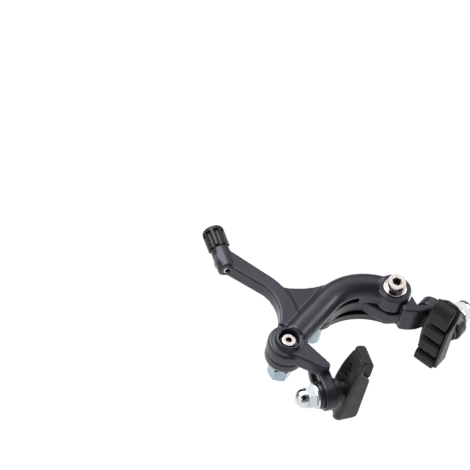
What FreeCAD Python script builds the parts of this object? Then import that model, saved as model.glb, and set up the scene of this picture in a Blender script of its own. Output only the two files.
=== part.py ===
import FreeCAD, Part
import math
import os
import re

# Dual-pivot side-pull caliper brake for a bicycle, shown open.
# Millimetres. X points right and Z up as seen from the front, Y points back to the frame.
# The origin is on the centre mounting bolt's axis, where the mounting nut's sleeve leaves its collar.

Vector = FreeCAD.Vector
Y_AXIS = Vector(0, 1, 0)
FORWARD = Vector(0, -1, 0)

doc = FreeCAD.newDocument("caliper_brake")
sheet = doc.addObject("Spreadsheet::Sheet", "Sizes")

SIZES = [
    # Where the pivots, the boss and the pads stand, from the centre bolt
    ("pivot_right", 29.4), ("pivot_drop", 16.2),
    ("boss_left", 32.3), ("boss_drop", 11.8),
    ("left_pad_out", 28.8), ("left_pad_drop", 39.6), ("left_pad_tilt", 19.0),
    ("right_pad_out", 47.7), ("right_pad_drop", 40.5), ("right_pad_tilt", 15.0),
    ("pad_setback", 8.5),
    # Clearances
    ("running_gap", 0.05), ("arm_gap", 0.5), ("bolt_play", 0.05), ("pocket_gap", 0.5),
    # Bracket, washers and bolts on the two pivots
    ("bracket_thick", 4.0), ("bracket_centre_radius", 7.2), ("bracket_pivot_radius", 5.4),
    ("bracket_sink", 2.4), ("bracket_waist", 4.2),
    ("bolt_dia", 6.0), ("bolt_head_dia", 11.4), ("bolt_head_thick", 3.0),
    ("thrust_washer_dia", 12.0), ("thrust_washer_thick", 0.8),
    ("seat_washer_dia", 12.8), ("seat_washer_thick", 1.6),
    ("nut_collar_flats", 10.0), ("nut_collar_length", 3.0),
    ("nut_sleeve_dia", 8.0), ("nut_sleeve_length", 13.0), ("nut_round", 1.5),
    ("bolt_end_setback", 2.0),
    ("spacer_dia", 8.4),
    ("pivot_head_dia", 8.6), ("pivot_head_length", 4.4), ("pivot_socket_flats", 4.4),
    ("pivot_washer_dia", 11.2), ("pivot_washer_thick", 0.9),
    # Front arm: arch, eye, boss, web, barrel arm and left leg
    ("front_eye_radius", 8.2), ("front_eye_thick", 9.4), ("spot_face_dia", 15.0),
    ("arch_width", 12.6), ("arch_thick", 7.0), ("arch_slope", 16.0), ("arch_straight", 33.0),
    ("arch_shoulder", 2.0), ("arch_start", 5.4), ("backing_start", 40.0),
    ("boss_radius", 9.6), ("boss_thick", 6.6), ("boss_round", 1.2), ("boss_ring_stand", 3.0),
    ("web_thick", 2.6), ("web_crotch_right", 21.8), ("web_crotch_rise", 22.4), ("web_lap", 0.4),
    ("barrel_arm_thick", 7.6), ("arm_root_right", 5.0), ("arm_root_rise", 6.0), ("arm_root_half", 5.0),
    ("arm_waist_right", 12.6), ("arm_waist_rise", 18.0), ("arm_waist_half", 3.9),
    ("arm_knee_right", 12.8), ("arm_knee_rise", 31.0), ("arm_knee_half", 3.5), ("arm_top_half", 4.3),
    ("leg_thick", 7.6), ("leg_top_right", 0.8), ("leg_top_drop", 3.0), ("leg_top_half", 5.8),
    ("leg_foot_rise", 8.5), ("leg_foot_half", 2.5),
    # Rear arm: eye, anchor cup, centre bar, shelf and right leg
    ("rear_arm_thick", 7.6), ("rear_eye_radius", 7.6), ("anchor_cup_radius", 9.4), ("anchor_cup_depth", 5.4),
    ("anchor_bar_half", 5.0), ("anchor_bar_step", 1.5),
    ("bar_rise", 1.0), ("bar_top_step", 1.0), ("elbow_wall", 4.3),
    ("leg_neck", 4.6), ("leg_bend", 3.4), ("leg_sweep", 9.0), ("leg_heel", 1.2), ("leg_reach", 7.6),
    ("leg_outer_rise", 12.0), ("leg_inner_rise", 8.5),
    # Slotted plates at the legs' ends
    ("slot_width", 6.3), ("slot_length", 18.0), ("slot_wall", 3.9), ("slot_plate_thick", 6.0),
    ("slot_room", 1.0),
    # Cable adjuster, on the front arm
    ("barrel_boss_left", 30.0), ("barrel_boss_rise", 37.0), ("barrel_tilt", 19.3),
    ("barrel_boss_radius", 4.6), ("barrel_boss_length", 12.0),
    ("barrel_dia", 6.0), ("barrel_bore", 5.2), ("cable_bore", 2.2), ("barrel_stub", 1.5),
    ("knob_dia", 10.6), ("knob_length", 11.0), ("knob_round", 1.2), ("flute_dia", 2.8), ("flute_count", 8),
    ("flute_length", 8.8),
    # Screws at the left boss
    ("recess_dia", 9.6), ("recess_depth", 4.4),
    ("screw_head_dia", 6.4), ("screw_head_length", 2.6), ("screw_dia", 5.0), ("screw_socket_flats", 3.0),
    ("anchor_dia", 6.0), ("anchor_head_dia", 9.0), ("anchor_head_length", 2.4),
    ("anchor_washer_dia", 12.0), ("anchor_washer_thick", 1.2),
    ("anchor_nut_flats", 10.0), ("anchor_nut_length", 5.0), ("anchor_stub", 1.6),
    # Shoes and their fasteners
    ("post_dia", 6.0), ("cup_washer_dia", 13.0), ("cup_washer_thick", 2.4), ("cup_round", 1.3),
    ("flat_washer_dia", 12.4), ("flat_washer_thick", 1.2),
    ("dome_flats", 10.0), ("dome_hex_length", 4.2), ("dome_length", 5.2), ("dome_dia", 9.2),
    ("shoe_front_reach", 28.0), ("shoe_rear_reach", 18.0), ("shoe_height", 13.0), ("shoe_round", 2.0),
    ("face_offset", 17.0), ("rubber_thick", 6.0), ("shoe_toe", 3.0),
    ("shoe_front_thick", 7.0), ("shoe_heel_thick", 12.2), ("shoe_heel_round", 3.0),
    ("shoe_seat_dia", 10.0), ("parting_width", 1.0), ("parting_depth", 1.0),
    ("groove_width", 2.4), ("groove_depth", 3.6), ("groove_count", 3), ("groove_first", 14.8),
    ("groove_pitch", 10.8),
    # Spring wire, the lug that holds one end and the peg that the other rests on
    ("wire_dia", 1.8), ("peg_dia", 4.0), ("peg_right", 12.0), ("peg_rise", 4.2),
    ("spring_rest_gap", 0.05), ("spring_reach", 22.0), ("knee_radius", 4.0), ("lug_radius", 2.2),
]

for row, (alias, number) in enumerate(SIZES, start=1):
    sheet.set(f"A{row}", alias.replace("_", " "))
    sheet.set(f"B{row}", str(number))
    sheet.setAlias(f"B{row}", alias)
doc.recompute()


def size(alias):
    """A driving dimension, read from the sheet."""
    return float(sheet.get(alias))


def formula(text):
    """An expression in which each driving dimension is read from the sheet's cell."""
    aliases = dict(SIZES)
    return re.sub(r"[a-z_]+", lambda word: "Sizes." + word[0] if word[0] in aliases else word[0], text)


def at(x, y, z):
    return Vector(x, y, z)


def placed(point, axis):
    """A placement whose own Z axis points along the given direction."""
    return FreeCAD.Placement(point, FreeCAD.Rotation(Vector(0, 0, 1), axis))


def bound(kind, name, placement, **expressions):
    """A Part primitive whose sizes follow the sheet."""
    obj = doc.addObject(kind, name)
    for prop, expression in expressions.items():
        obj.setExpression(prop, formula(expression))
    obj.Placement = placement
    return obj


def cylinder(name, radius, height, point, axis=Y_AXIS):
    return bound("Part::Cylinder", name, placed(point, axis), Radius=radius, Height=height)


def hexagon(name, flats, height, point, axis=Y_AXIS):
    prism = bound("Part::Prism", name, placed(point, axis),
                  Circumradius=f"({flats}) / 2 / cos(30)", Height=height)
    prism.Polygon = 6
    return prism


def fuse(name, *pieces):
    obj = doc.addObject("Part::MultiFuse", name)
    obj.Shapes = list(pieces)
    obj.Refine = True
    return obj


def cut(name, base, *tools):
    obj = doc.addObject("Part::Cut", name)
    obj.Base = base
    obj.Tool = tools[0] if len(tools) == 1 else fuse(name + "_tools", *tools)
    return obj


def outline(name, start, *runs):
    """A flat closed outline: each run is a point for a line, or a (via, end) pair for an arc."""
    edges = []
    here = start
    for run in runs:
        if isinstance(run, tuple):
            via, end = run
            edges.append(Part.Arc(here, via, end).toShape())
        else:
            end = run
            edges.append(Part.makeLine(here, end))
        here = end
    if here.distanceToPoint(start) > 1e-6:
        edges.append(Part.makeLine(here, start))
    face = doc.addObject("Part::Feature", name)
    face.Shape = Part.Face(Part.Wire(edges))
    return face


def extruded(name, face, direction, length):
    obj = doc.addObject("Part::Extrusion", name)
    obj.Base = face
    obj.DirMode = "Custom"
    obj.Dir = direction
    obj.setExpression("LengthFwd", formula(length))
    obj.Solid = True
    return obj


def link_face(name, a, a_radius, b, b_radius):
    """The outline round two circles in the plane of constant Y, with straight tangent sides."""
    along = b - a
    distance = along.Length
    turn = math.acos((a_radius - b_radius) / distance)
    heading = math.atan2(along.z, along.x)

    def rim(centre, radius, angle):
        return centre + at(radius * math.cos(angle), 0, radius * math.sin(angle))

    return outline(
        name, rim(a, a_radius, heading + turn),
        (rim(a, a_radius, heading + math.pi), rim(a, a_radius, heading - turn)),
        rim(b, b_radius, heading - turn),
        (rim(b, b_radius, heading), rim(b, b_radius, heading + turn)))


def band_face(name, a, via, b, a_half, via_half, b_half):
    """A bent tapered bar in the plane of constant Y, each long side one arc."""
    middle = Part.Arc(a, via, b)
    sides = []
    for point, half in ((a, a_half), (via, via_half), (b, b_half)):
        tangent = middle.tangent(middle.parameter(point))[0]
        sideways = tangent.cross(Y_AXIS).normalize() * half
        sides.append((point + sideways, point - sideways))
    (a_one, a_two), (via_one, via_two), (b_one, b_two) = sides
    return outline(name, a_one, (via_one, b_one), b_two, (via_two, a_two))


def rounded(name, base, radius, chosen):
    """Base with the chosen edges rounded."""
    doc.recompute()
    obj = doc.addObject("Part::Fillet", name)
    obj.Base = base
    obj.Edges = [(i, radius, radius) for i, edge in enumerate(base.Shape.Edges, 1) if chosen(edge)]
    return obj


def edges_at_y(level):
    """Picks the edges that lie wholly at one Y."""
    return lambda edge: abs(edge.BoundBox.YMin - level) < 1e-4 and abs(edge.BoundBox.YMax - level) < 1e-4


# Layers from the seat face forward; each is a Y level
seat = -size("seat_washer_thick") - size("nut_collar_length")
bracket_front = seat - size("bracket_thick")
rear_arm_back = bracket_front - size("thrust_washer_thick") - size("running_gap")
rear_arm_front = rear_arm_back - size("rear_arm_thick")
head_back = rear_arm_front - size("running_gap") - size("thrust_washer_thick")
head_front = head_back - size("bolt_head_thick")
front_arm_back = rear_arm_front - size("arm_gap")
arch_back = head_front - size("arm_gap")
eye_front = front_arm_back - size("front_eye_thick")
boss_front = front_arm_back - size("boss_thick")
anchor_back = rear_arm_front + size("anchor_cup_depth")

PIVOT = at(size("pivot_right"), 0, -size("pivot_drop"))
BOSS = at(-size("boss_left"), 0, -size("boss_drop"))
CENTRE = at(0, 0, 0)


def level(point, y):
    return at(point.x, y, point.z)


# The arch's middle line: straight up from the left boss, then one bend down to the side pivot
slope = math.radians(size("arch_slope"))
ARCH_ALONG = at(math.cos(slope), 0, math.sin(slope))
ARCH_OUT = at(-math.sin(slope), 0, math.cos(slope))
BEND = BOSS + ARCH_ALONG * size("arch_straight")
to_pivot = PIVOT - BEND
arch_radius = to_pivot.dot(to_pivot) / (-2 * to_pivot.dot(ARCH_OUT))
BEND_CENTRE = BEND - ARCH_OUT * arch_radius
bend_angle = math.degrees(ARCH_OUT.getAngle(PIVOT - BEND_CENTRE))


def round_bend(degrees, radius):
    """A point about the arch's bend: degrees count from its start towards the pivot."""
    turn = FreeCAD.Rotation(Y_AXIS, degrees)
    return BEND_CENTRE + turn.multVec(ARCH_OUT) * radius


# Back bracket: a bar behind the arch that ties the side pivot to the centre bolt
bracket_via = round_bend(bend_angle / 2, arch_radius - size("bracket_sink"))
bracket_bar = extruded(
    "bracket_bar",
    band_face("bracket_outline", level(CENTRE, seat), level(bracket_via, seat), level(PIVOT, seat),
              size("bracket_centre_radius"), size("bracket_waist"), size("bracket_pivot_radius")),
    FORWARD, "bracket_thick")
bracket_ends = [
    cylinder("bracket_centre", "bracket_centre_radius", "bracket_thick", level(CENTRE, bracket_front)),
    cylinder("bracket_pivot", "bracket_pivot_radius", "bracket_thick", level(PIVOT, bracket_front))]
bar_along = (PIVOT - CENTRE).normalize()
bar_up = at(-bar_along.z, 0, bar_along.x)
LUG = bar_along * size("spring_reach") + bar_up * (size("bracket_centre_radius") + size("arm_gap")
                                                   - size("spring_rest_gap") - size("lug_radius"))
spring_lug = cylinder("spring_lug", "lug_radius", "bracket_thick", level(LUG, bracket_front))
back_bracket = cut(
    "back_bracket", fuse("bracket_body", bracket_bar, *bracket_ends, spring_lug),
    cylinder("bracket_bolt_hole", "bolt_dia / 2 + bolt_play", "bracket_thick * 3",
             at(0, bracket_front - size("bracket_thick"), 0)),
    cylinder("bracket_pivot_hole", "bolt_dia / 2 + bolt_play", "bracket_thick * 3",
             level(PIVOT, bracket_front - size("bracket_thick"))))

# Mounting bolt: a flat round head in front of the rear arm and a shank through the bracket
nut_front = -size("nut_collar_length")
nut_back = size("nut_sleeve_length")
bolt_length = "bolt_head_thick + thrust_washer_thick * 2 + running_gap * 2 + rear_arm_thick"
bolt_length += " + bracket_thick + seat_washer_thick + nut_collar_length + nut_sleeve_length"
bolt_length += " - bolt_end_setback"
mounting_bolt = fuse(
    "mounting_bolt",
    cylinder("bolt_head", "bolt_head_dia / 2", "bolt_head_thick", at(0, head_front, 0)),
    cylinder("bolt_shank", "bolt_dia / 2", bolt_length, at(0, head_front, 0)))


def washer(name, dia, thick, bore, point, axis=Y_AXIS):
    """A flat ring whose first face is at the point."""
    past = axis * size(thick)
    return cut(name, cylinder(name + "_disc", f"{dia} / 2", thick, point, axis),
               cylinder(name + "_hole", f"{bore} / 2 + bolt_play", f"{thick} * 3", point - past, axis))


rear_thrust_washer = washer("rear_thrust_washer", "thrust_washer_dia", "thrust_washer_thick", "bolt_dia",
                            at(0, bracket_front - size("thrust_washer_thick"), 0))
front_thrust_washer = washer("front_thrust_washer", "thrust_washer_dia", "thrust_washer_thick", "bolt_dia",
                             at(0, head_back, 0))
seat_washer = washer("seat_washer", "seat_washer_dia", "seat_washer_thick", "bolt_dia",
                     level(CENTRE, seat))

# Mounting nut: a hexagon collar with a round sleeve that plugs into the frame
sleeve_length = "nut_collar_length + nut_sleeve_length"
nut_sleeve = rounded(
    "nut_sleeve",
    cylinder("nut_sleeve_blank", "nut_sleeve_dia / 2", sleeve_length, at(0, nut_front, 0)),
    size("nut_round"), edges_at_y(nut_back))
mounting_nut = cut(
    "mounting_nut",
    fuse("nut_body",
         hexagon("nut_collar", "nut_collar_flats", "nut_collar_length", at(0, nut_front, 0)),
         nut_sleeve),
    cylinder("nut_thread", "bolt_dia / 2 + bolt_play", sleeve_length + " + 2 * seat_washer_thick",
             level(CENTRE, seat)))

# Pivot spacer: the post between the bracket and the front arm's eye
spacer_expression = "thrust_washer_thick + running_gap + rear_arm_thick + arm_gap - running_gap"
pivot_spacer = cut(
    "pivot_spacer",
    cylinder("spacer_tube", "spacer_dia / 2", spacer_expression, level(PIVOT, bracket_front), FORWARD),
    cylinder("spacer_bore", "bolt_dia / 2 + bolt_play", "rear_arm_thick * 3",
             level(PIVOT, bracket_front + size("rear_arm_thick")), FORWARD))

# Pivot bolt and washer: a tall socket head in front of the eye
washer_back = eye_front - size("running_gap")
pivot_head_back = washer_back - size("pivot_washer_thick")
pivot_washer = washer("pivot_washer", "pivot_washer_dia", "pivot_washer_thick", "bolt_dia",
                      level(PIVOT, pivot_head_back))
pivot_head_front = pivot_head_back - size("pivot_head_length")
pivot_bolt = cut(
    "pivot_bolt",
    fuse("pivot_bolt_blank",
         cylinder("pivot_head", "pivot_head_dia / 2", "pivot_head_length", level(PIVOT, pivot_head_front)),
         cylinder("pivot_shank", "bolt_dia / 2",
                  "pivot_head_length + pivot_washer_thick + running_gap + front_eye_thick + arm_gap"
                  " + rear_arm_thick + running_gap + thrust_washer_thick + bracket_thick",
                  level(PIVOT, pivot_head_front))),
    hexagon("pivot_socket", "pivot_socket_flats", "pivot_head_length",
            level(PIVOT, pivot_head_front - size("pivot_head_length") / 3)))

# Front arm's arch: a D-section along that line, flat side to the rear arm
arch_front = arch_back - size("arch_thick")
shoulder_y = arch_back - size("arch_shoulder")
half_width = ARCH_OUT * (size("arch_width") / 2)


def arch_section(name, point):
    """The arch's D-shaped cross-section, with its flat side to the rear arm."""
    return outline(
        name, level(point + half_width, arch_back),
        level(point + half_width, shoulder_y),
        (level(point, arch_front), level(point - half_width, shoulder_y)),
        level(point - half_width, arch_back))


run_start = BOSS + ARCH_ALONG * size("arch_start")
run_section = arch_section("run_section", run_start)
arch_run = extruded("arch_run", run_section, ARCH_ALONG, "arch_straight - arch_start")
arch_bend = doc.addObject("Part::Revolution", "arch_bend")
arch_bend.Source = arch_section("bend_section", BEND)
arch_bend.Axis = Y_AXIS
arch_bend.Base = BEND_CENTRE
arch_bend.Angle = bend_angle
arch_bend.Solid = True

# Towards the side pivot the arch is as deep as the eye
backing_turn = FreeCAD.Rotation(Y_AXIS, size("backing_start"))
backing_point = round_bend(size("backing_start"), arch_radius)
backing_half = backing_turn.multVec(half_width)
arch_backing = doc.addObject("Part::Revolution", "arch_backing")
arch_backing.Source = outline(
    "backing_section", level(backing_point + backing_half, arch_back),
    level(backing_point + backing_half, front_arm_back),
    level(backing_point - backing_half, front_arm_back),
    level(backing_point - backing_half, arch_back))
arch_backing.Axis = Y_AXIS
arch_backing.Base = BEND_CENTRE
arch_backing.Angle = bend_angle - size("backing_start")
arch_backing.Solid = True

# Barrel arm and boss: the slender arm that carries the cable adjuster
barrel_lean = math.radians(size("barrel_tilt"))
BARREL_UP = at(math.sin(barrel_lean), 0, math.cos(barrel_lean))
barrel_y = front_arm_back - size("barrel_arm_thick") / 2
BARREL_FOOT = at(-size("barrel_boss_left"), barrel_y, size("barrel_boss_rise"))
barrel_middle = BARREL_FOOT + BARREL_UP * (size("barrel_boss_length") / 2)
arm_root = level(BOSS + at(size("arm_root_right"), 0, size("arm_root_rise")), front_arm_back)
arm_waist = level(BOSS + at(size("arm_waist_right"), 0, size("arm_waist_rise")), front_arm_back)
arm_knee = level(BOSS + at(size("arm_knee_right"), 0, size("arm_knee_rise")), front_arm_back)
lower_arm = extruded(
    "lower_barrel_arm",
    band_face("lower_arm_outline", arm_root, arm_waist, arm_knee,
              size("arm_root_half"), size("arm_waist_half"), size("arm_knee_half")),
    FORWARD, "barrel_arm_thick")
upper_arm = extruded(
    "upper_barrel_arm",
    link_face("upper_arm_outline", arm_knee, size("arm_knee_half"),
              level(barrel_middle, front_arm_back), size("arm_top_half")),
    FORWARD, "barrel_arm_thick")
barrel_boss = cylinder("barrel_boss", "barrel_boss_radius", "barrel_boss_length", BARREL_FOOT, BARREL_UP)

# Web: the thin triangle between the barrel arm and the arch
web_left = level(arm_root, arch_back)
web_top = level(arm_knee, arch_back)
web_crotch = level(BOSS + at(size("web_crotch_right"), 0, size("web_crotch_rise")), arch_back)
web_reach = arch_radius + size("arch_width") / 2 - size("web_lap")
web_right = level(round_bend(size("arch_slope"), web_reach), arch_back)
web = extruded(
    "web", outline("web_outline", web_left, web_top, (web_crotch, web_right), level(BEND, arch_back)),
    FORWARD, "web_thick")

# Left boss, right eye and left leg of the front arm
boss_blank = rounded(
    "left_boss",
    cylinder("left_boss_blank", "boss_radius", "boss_thick", level(BOSS, boss_front)),
    size("boss_round"), edges_at_y(boss_front))
ring_front = boss_front - size("boss_ring_stand")
boss_ring = cylinder("left_boss_ring", "arch_width / 2", "boss_ring_stand + boss_round",
                     level(BOSS, ring_front))
eye = cylinder("right_eye", "front_eye_radius", "front_eye_thick", level(PIVOT, eye_front))


class Side:
    """One pad: its post's place, and the turn that takes +X inward to the rim."""

    def __init__(self, name, x, z, turn, up):
        self.name = name
        post = at(x, seat - size("pad_setback"), z)
        self.placement = FreeCAD.Placement(post, FreeCAD.Rotation(Y_AXIS, turn))
        self.up = up

    def point(self, x, y, z):
        return self.placement.multVec(at(x, y, z * self.up))

    def seat(self, obj):
        obj.Placement = self.placement.multiply(obj.Placement)
        return obj


LEFT = Side("left", -size("left_pad_out"), -size("left_pad_drop"), size("left_pad_tilt"), 1)
RIGHT = Side("right", size("right_pad_out"), -size("right_pad_drop"), 180 - size("right_pad_tilt"), -1)


half_plate = size("slot_plate_thick") / 2


def stadium(name, side, radius, x):
    """A round-ended slot outline in the plane of the pad plate."""
    low = -size("slot_room")
    high = low + size("slot_length") - size("slot_width")
    return outline(
        name, side.point(x, -radius, low), side.point(x, -radius, high),
        (side.point(x, 0, high + radius), side.point(x, radius, high)),
        side.point(x, radius, low), (side.point(x, 0, low - radius), side.point(x, -radius, low)))


def slot_plate(side):
    """The slotted plate at a leg's end, and the slot that is cut from the arm."""
    inward = side.placement.Rotation.multVec(Vector(1, 0, 0))
    radius = size("slot_width") / 2
    blank = extruded(side.name + "_plate",
                     stadium(side.name + "_plate_outline", side, radius + size("slot_wall"), -half_plate),
                     inward, "slot_plate_thick")
    slot = extruded(side.name + "_slot",
                    stadium(side.name + "_slot_outline", side, radius, -3 * half_plate),
                    inward, "slot_plate_thick * 3")
    return blank, slot


left_plate, left_slot = slot_plate(LEFT)
leg_top = level(BOSS + at(size("leg_top_right"), 0, -size("leg_top_drop")), front_arm_back)
leg_foot = level(LEFT.point(0, 0, size("leg_foot_rise")), front_arm_back)
left_leg = extruded(
    "left_leg",
    link_face("left_leg_outline", leg_top, size("leg_top_half"), leg_foot, size("leg_foot_half")),
    FORWARD, "leg_thick")
front_arm_blank = fuse(
    "front_arm_blank", arch_run, arch_bend, arch_backing, web, lower_arm, upper_arm, barrel_boss,
    boss_blank, boss_ring, eye, left_leg, left_plate)
screw_seat = ring_front + size("recess_depth")
c_arm = cut(
    "c_arm", front_arm_blank, left_slot,
    cylinder("spot_face", "spot_face_dia / 2", "arch_thick * 2",
             level(PIVOT, eye_front), FORWARD),
    cylinder("eye_bore", "bolt_dia / 2 + bolt_play", "front_eye_thick * 3",
             level(PIVOT, eye_front - size("front_eye_thick"))),
    cylinder("screw_recess", "recess_dia / 2", "recess_depth * 2",
             level(BOSS, ring_front - size("recess_depth"))),
    cylinder("screw_hole", "screw_dia / 2 + bolt_play", "boss_thick * 2", level(BOSS, boss_front)),
    cylinder("barrel_thread", "barrel_dia / 2 + bolt_play", "barrel_boss_length",
             BARREL_FOOT + BARREL_UP * (2 * size("barrel_stub")), BARREL_UP),
    cylinder("cable_hole", "cable_bore / 2", "barrel_boss_length * 2",
             BARREL_FOOT - BARREL_UP * size("barrel_boss_length"), BARREL_UP))

# Centring screw: a socket screw sunk in the left boss
centring_screw = cut(
    "centring_screw",
    fuse("screw_blank",
         cylinder("screw_head", "screw_head_dia / 2", "screw_head_length",
                  level(BOSS, screw_seat - size("screw_head_length"))),
         cylinder("screw_shank", "screw_dia / 2", "boss_thick + boss_ring_stand - recess_depth",
                  level(BOSS, screw_seat))),
    hexagon("screw_socket", "screw_socket_flats", "screw_head_length",
            level(BOSS, screw_seat - size("screw_head_length") * 4 / 3)))

# Cable adjuster: a hollow threaded barrel with a fluted knob on its top
barrel_seat = BARREL_FOOT + BARREL_UP * (2 * size("barrel_stub") + size("running_gap"))
knob_foot = BARREL_FOOT + BARREL_UP * (size("barrel_boss_length") + size("arm_gap"))
barrel_length = "barrel_boss_length - 2 * barrel_stub - running_gap + arm_gap"
adjuster_barrel = cut(
    "adjuster_barrel",
    cylinder("barrel_blank", "barrel_dia / 2", barrel_length, barrel_seat, BARREL_UP),
    cylinder("barrel_cable_hole", "cable_bore / 2", "barrel_boss_length * 3",
             BARREL_FOOT - BARREL_UP * size("barrel_boss_length"), BARREL_UP))
knob_top = knob_foot + BARREL_UP * size("knob_length")
knob_blank = rounded(
    "knob_blank", cylinder("knob_turning", "knob_dia / 2", "knob_length", knob_foot, BARREL_UP),
    size("knob_round"), lambda edge: edge.CenterOfMass.distanceToPoint(knob_top) < size("running_gap"))
across = Y_AXIS.cross(BARREL_UP).normalize()
flutes = []
for index in range(int(size("flute_count"))):
    turn = FreeCAD.Rotation(BARREL_UP, index * 360.0 / size("flute_count"))
    centre = knob_foot + turn.multVec(across) * (size("knob_dia") / 2)
    flutes.append(cylinder(f"flute_{index}", "flute_dia / 2", "flute_length", centre, BARREL_UP))
adjuster_knob = cut(
    "adjuster_knob", knob_blank, *flutes,
    cylinder("knob_floor_hole", "cable_bore / 2", "knob_length * 2",
             knob_foot - BARREL_UP * size("knob_length") / 2, BARREL_UP),
    cylinder("housing_socket", "barrel_bore / 2", "knob_length",
             knob_foot + BARREL_UP * 2 * size("barrel_stub"), BARREL_UP))

# Rear arm: the centre eye, the bar to the cable anchor, and the right leg with its pocket for the eye
pocket_radius = size("front_eye_radius") + size("pocket_gap")
spacer_clear = size("spacer_dia") / 2 + size("pocket_gap")
bar_low = arch_radius - size("arch_width") / 2 + size("bar_rise")


def from_pivot(radius, degrees):
    """A point about the side pivot, in degrees up from the right."""
    angle = math.radians(degrees)
    return level(PIVOT + at(radius * math.cos(angle), 0, radius * math.sin(angle)), rear_arm_back)


def under_bend(degrees, radius):
    return level(round_bend(degrees, radius), rear_arm_back)


# Angles about the side pivot and, for the bar, about the arch's bend
LEG_START, LEG_MIDDLE, LEG_END, LEG_NECK = 255, 285, 312, 290
BAR_START, BAR_END = 12, 50
SPACER_START, SPACER_MIDDLE, SPACER_END = 172, 215, 280
ELBOW_START, ELBOW_MIDDLE, ELBOW_END = 262, 243, 225
neck_radius = pocket_radius + size("leg_neck")
elbow_radius = spacer_clear + size("elbow_wall")
leg_inner = level(RIGHT.point(half_plate, 0, size("leg_inner_rise")), rear_arm_back)
leg_outer = level(RIGHT.point(half_plate, 0, size("leg_outer_rise")), rear_arm_back)
right_leg = extruded(
    "right_leg",
    outline("right_leg_outline", from_pivot(pocket_radius, LEG_START),
            (from_pivot(pocket_radius, LEG_MIDDLE), from_pivot(pocket_radius, LEG_END)),
            from_pivot(neck_radius, LEG_NECK),
            (from_pivot(neck_radius + size("leg_bend"), LEG_NECK + size("leg_sweep")), leg_outer), leg_inner,
            (from_pivot(neck_radius + size("leg_bend"), LEG_NECK - size("leg_sweep")),
             from_pivot(neck_radius - size("leg_heel"), LEG_START))),
    FORWARD, "rear_arm_thick + arm_gap + leg_reach")
centre_bar = extruded(
    "centre_bar",
    outline("centre_bar_outline", under_bend(BAR_START, arch_radius),
            (under_bend(bend_angle / 2, arch_radius - size("bar_top_step")),
             from_pivot(spacer_clear, SPACER_START)),
            (from_pivot(spacer_clear, SPACER_MIDDLE), from_pivot(spacer_clear, SPACER_END)),
            from_pivot((pocket_radius + neck_radius) / 2, SPACER_END),
            from_pivot(elbow_radius, ELBOW_START),
            (from_pivot(elbow_radius, ELBOW_MIDDLE), from_pivot(elbow_radius, ELBOW_END)),
            under_bend(BAR_END, bar_low),
            (under_bend((BAR_START + BAR_END) / 2, bar_low), under_bend(BAR_START / 2, bar_low)),
            level(CENTRE, rear_arm_back)),
    FORWARD, "rear_arm_thick")
anchor_bar = extruded(
    "anchor_bar",
    link_face("anchor_bar_outline",
              level(CENTRE, anchor_back), size("rear_eye_radius") - size("anchor_bar_step"),
              level(BOSS, anchor_back), size("anchor_bar_half")),
    FORWARD, "anchor_cup_depth")
anchor_cup = cylinder("anchor_cup", "anchor_cup_radius", "anchor_cup_depth", level(BOSS, rear_arm_front))
right_plate, right_slot = slot_plate(RIGHT)
rear_eye = cylinder("rear_eye", "rear_eye_radius", "rear_arm_thick", at(0, rear_arm_front, 0))
PEG = BOSS + at(size("peg_right"), 0, size("peg_rise"))
peg = cylinder("spring_peg", "peg_dia / 2", "bracket_thick + rear_arm_thick - anchor_cup_depth",
               level(PEG, anchor_back))
rear_arm_blank = fuse("rear_arm_blank", right_leg, centre_bar, anchor_bar, anchor_cup, right_plate,
                      rear_eye, peg)
y_arm = cut(
    "y_arm", rear_arm_blank, right_slot,
    cylinder("rear_eye_bore", "bolt_dia / 2 + bolt_play", "rear_arm_thick * 3",
             at(0, rear_arm_front - size("rear_arm_thick"), 0)),
    cylinder("anchor_hole", "anchor_dia / 2 + bolt_play", "rear_arm_thick * 3",
             level(BOSS, rear_arm_front - size("rear_arm_thick"))),
    cylinder("anchor_head_recess", "anchor_head_dia / 2 + bolt_play", "anchor_head_length * 2",
             level(BOSS, rear_arm_front - size("anchor_head_length"))))

# Cable anchor: a flush bolt in the cup, with a washer and a nut behind
anchor_washer = washer("anchor_washer", "anchor_washer_dia", "anchor_washer_thick", "anchor_dia",
                       level(BOSS, anchor_back))
anchor_nut_front = anchor_back + size("anchor_washer_thick")
anchor_nut = cut(
    "anchor_nut",
    hexagon("anchor_nut_blank", "anchor_nut_flats", "anchor_nut_length", level(BOSS, anchor_nut_front)),
    cylinder("anchor_nut_thread", "anchor_dia / 2 + bolt_play", "anchor_nut_length * 3",
             level(BOSS, anchor_nut_front - size("anchor_nut_length"))))
anchor_bolt = fuse(
    "anchor_bolt",
    cylinder("anchor_head", "anchor_head_dia / 2", "anchor_head_length", level(BOSS, rear_arm_front)),
    cylinder("anchor_shank", "anchor_dia / 2",
             "anchor_cup_depth + anchor_washer_thick + anchor_nut_length + anchor_stub",
             level(BOSS, rear_arm_front)))

# Return spring: a bent wire along the bracket's top edge, resting on the rear arm's peg
wire_y = (seat + bracket_front) / 2
wire_lift = size("wire_dia") / 2
wrap = size("bracket_centre_radius") + wire_lift + size("arm_gap")
spring_start = CENTRE + bar_along * size("spring_reach") + bar_up * wrap
rest_lift = size("peg_dia") / 2 + wire_lift + size("spring_rest_gap")
spring_end = PEG + at(-size("peg_dia"), 0, rest_lift)
spring_knee = PEG + at(size("peg_dia"), 0, rest_lift)
knee_normal = math.atan2(spring_knee.z, spring_knee.x) % (2 * math.pi) - math.acos(wrap / spring_knee.Length)
knee_up = at(math.cos(knee_normal), 0, math.sin(knee_normal))
spring_top = (bar_up + knee_up) * (wrap / (1 + bar_up.dot(knee_up)))


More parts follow.
